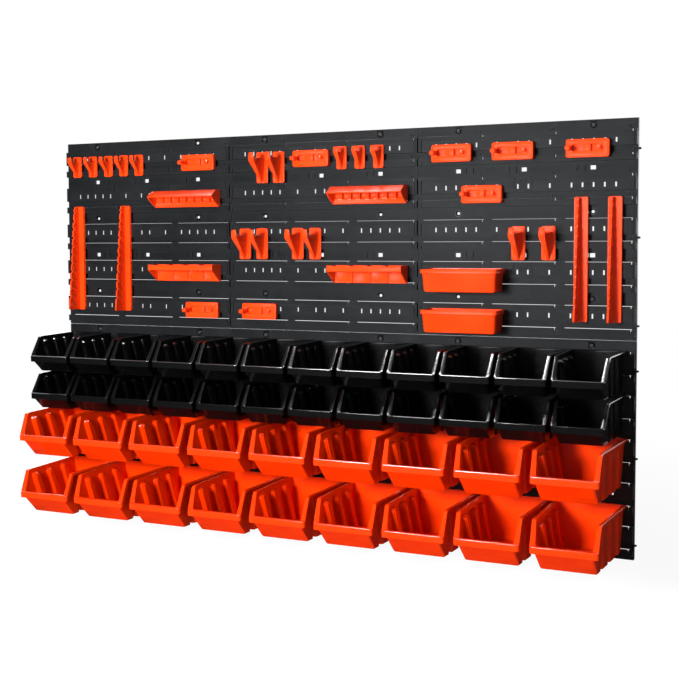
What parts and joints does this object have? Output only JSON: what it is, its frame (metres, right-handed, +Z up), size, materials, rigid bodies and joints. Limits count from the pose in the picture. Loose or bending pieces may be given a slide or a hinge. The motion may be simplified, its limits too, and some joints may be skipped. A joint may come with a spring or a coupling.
{
  "type": "wall storage board with bins",
  "caption": "Louvred plastic wall board with rows of open-front hanging bins, clip-on hooks, tool clips, racks and trays; each bin lifts off its rail.",
  "frame": {"origin": "on the wall plane, at the middle of the board's width, on the back edge of the upper middle panel just above the joint between the upper and lower panels", "axes": "+X to the right when facing the board, +Y into the wall, +Z up"},
  "size_m": [1.156, 0.219, 0.7565],
  "materials": {
    "board": "satin",
    "bin_black": "gloss",
    "bin_orange": "gloss",
    "holder_orange": "gloss"
  },
  "bodies": {
    "board": {"panel_upper_left": "board", "panel_upper_centre": "board", "panel_upper_right": "board", "panel_lower_left": "board", "panel_lower_centre": "board", "panel_lower_right": "board", "rack_tall_1": "holder_orange", "rack_tall_2": "holder_orange", "rack_tall_3": "holder_orange", "rack_tall_4": "holder_orange", "rack_hole_1": "holder_orange", "rack_hole_2": "holder_orange", "rack_pocket_1": "holder_orange", "rack_pocket_2": "holder_orange", "tray_1": "holder_orange", "tray_2": "holder_orange", "hook_large_7": "holder_orange", "clip_3": "holder_orange"},
    "bin_small_a01": {"bin_small_a01": "bin_black"},
    "bin_small_a02": {"bin_small_a02": "bin_black"},
    "bin_small_a03": {"bin_small_a03": "bin_black"},
    "bin_small_a04": {"bin_small_a04": "bin_black"},
    "bin_small_a05": {"bin_small_a05": "bin_black"},
    "bin_small_a06": {"bin_small_a06": "bin_black"},
    "bin_small_a07": {"bin_small_a07": "bin_black"},
    "bin_small_a08": {"bin_small_a08": "bin_black"},
    "bin_small_a09": {"bin_small_a09": "bin_black"},
    "bin_small_a10": {"bin_small_a10": "bin_black"},
    "bin_small_a11": {"bin_small_a11": "bin_black"},
    "bin_small_a12": {"bin_small_a12": "bin_black"},
    "bin_small_b01": {"bin_small_b01": "bin_black"},
    "bin_small_b02": {"bin_small_b02": "bin_black"},
    "bin_small_b03": {"bin_small_b03": "bin_black"},
    "bin_small_b04": {"bin_small_b04": "bin_black"},
    "bin_small_b05": {"bin_small_b05": "bin_black"},
    "bin_small_b06": {"bin_small_b06": "bin_black"},
    "bin_small_b07": {"bin_small_b07": "bin_black"},
    "bin_small_b08": {"bin_small_b08": "bin_black"},
    "bin_small_b09": {"bin_small_b09": "bin_black"},
    "bin_small_b10": {"bin_small_b10": "bin_black"},
    "bin_small_b11": {"bin_small_b11": "bin_black"},
    "bin_small_b12": {"bin_small_b12": "bin_black"},
    "bin_large_a01": {"bin_large_a01": "bin_orange"},
    "bin_large_a02": {"bin_large_a02": "bin_orange"},
    "bin_large_a03": {"bin_large_a03": "bin_orange"},
    "bin_large_a04": {"bin_large_a04": "bin_orange"},
    "bin_large_a05": {"bin_large_a05": "bin_orange"},
    "bin_large_a06": {"bin_large_a06": "bin_orange"},
    "bin_large_a07": {"bin_large_a07": "bin_orange"},
    "bin_large_a08": {"bin_large_a08": "bin_orange"},
    "bin_large_a09": {"bin_large_a09": "bin_orange"},
    "bin_large_b01": {"bin_large_b01": "bin_orange"},
    "bin_large_b02": {"bin_large_b02": "bin_orange"},
    "bin_large_b03": {"bin_large_b03": "bin_orange"},
    "bin_large_b04": {"bin_large_b04": "bin_orange"},
    "bin_large_b05": {"bin_large_b05": "bin_orange"},
    "bin_large_b06": {"bin_large_b06": "bin_orange"},
    "bin_large_b07": {"bin_large_b07": "bin_orange"},
    "bin_large_b08": {"bin_large_b08": "bin_orange"},
    "bin_large_b09": {"bin_large_b09": "bin_orange"}
  },
  "joints": [
    {"name": "bin_small_a01_lift", "type": "slide", "parent": "board", "child": "bin_small_a01", "axis": [0, 0, 1], "range_m": [0, 0.0045]},
    {"name": "bin_small_a02_lift", "type": "slide", "parent": "board", "child": "bin_small_a02", "axis": [0, 0, 1], "range_m": [0, 0.0045]},
    {"name": "bin_small_a03_lift", "type": "slide", "parent": "board", "child": "bin_small_a03", "axis": [0, 0, 1], "range_m": [0, 0.0045]},
    {"name": "bin_small_a04_lift", "type": "slide", "parent": "board", "child": "bin_small_a04", "axis": [0, 0, 1], "range_m": [0, 0.0045]},
    {"name": "bin_small_a05_lift", "type": "slide", "parent": "board", "child": "bin_small_a05", "axis": [0, 0, 1], "range_m": [0, 0.0045]},
    {"name": "bin_small_a06_lift", "type": "slide", "parent": "board", "child": "bin_small_a06", "axis": [0, 0, 1], "range_m": [0, 0.0045]},
    {"name": "bin_small_a07_lift", "type": "slide", "parent": "board", "child": "bin_small_a07", "axis": [0, 0, 1], "range_m": [0, 0.0045]},
    {"name": "bin_small_a08_lift", "type": "slide", "parent": "board", "child": "bin_small_a08", "axis": [0, 0, 1], "range_m": [0, 0.0045]},
    {"name": "bin_small_a09_lift", "type": "slide", "parent": "board", "child": "bin_small_a09", "axis": [0, 0, 1], "range_m": [0, 0.0045]},
    {"name": "bin_small_a10_lift", "type": "slide", "parent": "board", "child": "bin_small_a10", "axis": [0, 0, 1], "range_m": [0, 0.0045]},
    {"name": "bin_small_a11_lift", "type": "slide", "parent": "board", "child": "bin_small_a11", "axis": [0, 0, 1], "range_m": [0, 0.0045]},
    {"name": "bin_small_a12_lift", "type": "slide", "parent": "board", "child": "bin_small_a12", "axis": [0, 0, 1], "range_m": [0, 0.0045]},
    {"name": "bin_small_b01_lift", "type": "slide", "parent": "board", "child": "bin_small_b01", "axis": [0, 0, 1], "range_m": [0, 0.0045]},
    {"name": "bin_small_b02_lift", "type": "slide", "parent": "board", "child": "bin_small_b02", "axis": [0, 0, 1], "range_m": [0, 0.0045]},
    {"name": "bin_small_b03_lift", "type": "slide", "parent": "board", "child": "bin_small_b03", "axis": [0, 0, 1], "range_m": [0, 0.0045]},
    {"name": "bin_small_b04_lift", "type": "slide", "parent": "board", "child": "bin_small_b04", "axis": [0, 0, 1], "range_m": [0, 0.0045]},
    {"name": "bin_small_b05_lift", "type": "slide", "parent": "board", "child": "bin_small_b05", "axis": [0, 0, 1], "range_m": [0, 0.0045]},
    {"name": "bin_small_b06_lift", "type": "slide", "parent": "board", "child": "bin_small_b06", "axis": [0, 0, 1], "range_m": [0, 0.0045]},
    {"name": "bin_small_b07_lift", "type": "slide", "parent": "board", "child": "bin_small_b07", "axis": [0, 0, 1], "range_m": [0, 0.0045]},
    {"name": "bin_small_b08_lift", "type": "slide", "parent": "board", "child": "bin_small_b08", "axis": [0, 0, 1], "range_m": [0, 0.0045]},
    {"name": "bin_small_b09_lift", "type": "slide", "parent": "board", "child": "bin_small_b09", "axis": [0, 0, 1], "range_m": [0, 0.0045]},
    {"name": "bin_small_b10_lift", "type": "slide", "parent": "board", "child": "bin_small_b10", "axis": [0, 0, 1], "range_m": [0, 0.0045]},
    {"name": "bin_small_b11_lift", "type": "slide", "parent": "board", "child": "bin_small_b11", "axis": [0, 0, 1], "range_m": [0, 0.0045]},
    {"name": "bin_small_b12_lift", "type": "slide", "parent": "board", "child": "bin_small_b12", "axis": [0, 0, 1], "range_m": [0, 0.0045]},
    {"name": "bin_large_a01_lift", "type": "slide", "parent": "board", "child": "bin_large_a01", "axis": [0, 0, 1], "range_m": [0, 0.0045]},
    {"name": "bin_large_a02_lift", "type": "slide", "parent": "board", "child": "bin_large_a02", "axis": [0, 0, 1], "range_m": [0, 0.0045]},
    {"name": "bin_large_a03_lift", "type": "slide", "parent": "board", "child": "bin_large_a03", "axis": [0, 0, 1], "range_m": [0, 0.0045]},
    {"name": "bin_large_a04_lift", "type": "slide", "parent": "board", "child": "bin_large_a04", "axis": [0, 0, 1], "range_m": [0, 0.0045]},
    {"name": "bin_large_a05_lift", "type": "slide", "parent": "board", "child": "bin_large_a05", "axis": [0, 0, 1], "range_m": [0, 0.0045]},
    {"name": "bin_large_a06_lift", "type": "slide", "parent": "board", "child": "bin_large_a06", "axis": [0, 0, 1], "range_m": [0, 0.0045]},
    {"name": "bin_large_a07_lift", "type": "slide", "parent": "board", "child": "bin_large_a07", "axis": [0, 0, 1], "range_m": [0, 0.0045]},
    {"name": "bin_large_a08_lift", "type": "slide", "parent": "board", "child": "bin_large_a08", "axis": [0, 0, 1], "range_m": [0, 0.0045]},
    {"name": "bin_large_a09_lift", "type": "slide", "parent": "board", "child": "bin_large_a09", "axis": [0, 0, 1], "range_m": [0, 0.0045]},
    {"name": "bin_large_b01_lift", "type": "slide", "parent": "board", "child": "bin_large_b01", "axis": [0, 0, 1], "range_m": [0, 0.0045]},
    {"name": "bin_large_b02_lift", "type": "slide", "parent": "board", "child": "bin_large_b02", "axis": [0, 0, 1], "range_m": [0, 0.0045]},
    {"name": "bin_large_b03_lift", "type": "slide", "parent": "board", "child": "bin_large_b03", "axis": [0, 0, 1], "range_m": [0, 0.0045]},
    {"name": "bin_large_b04_lift", "type": "slide", "parent": "board", "child": "bin_large_b04", "axis": [0, 0, 1], "range_m": [0, 0.0045]},
    {"name": "bin_large_b05_lift", "type": "slide", "parent": "board", "child": "bin_large_b05", "axis": [0, 0, 1], "range_m": [0, 0.0045]},
    {"name": "bin_large_b06_lift", "type": "slide", "parent": "board", "child": "bin_large_b06", "axis": [0, 0, 1], "range_m": [0, 0.0045]},
    {"name": "bin_large_b07_lift", "type": "slide", "parent": "board", "child": "bin_large_b07", "axis": [0, 0, 1], "range_m": [0, 0.0045]},
    {"name": "bin_large_b08_lift", "type": "slide", "parent": "board", "child": "bin_large_b08", "axis": [0, 0, 1], "range_m": [0, 0.0045]},
    {"name": "bin_large_b09_lift", "type": "slide", "parent": "board", "child": "bin_large_b09", "axis": [0, 0, 1], "range_m": [0, 0.0045]}
  ]
}
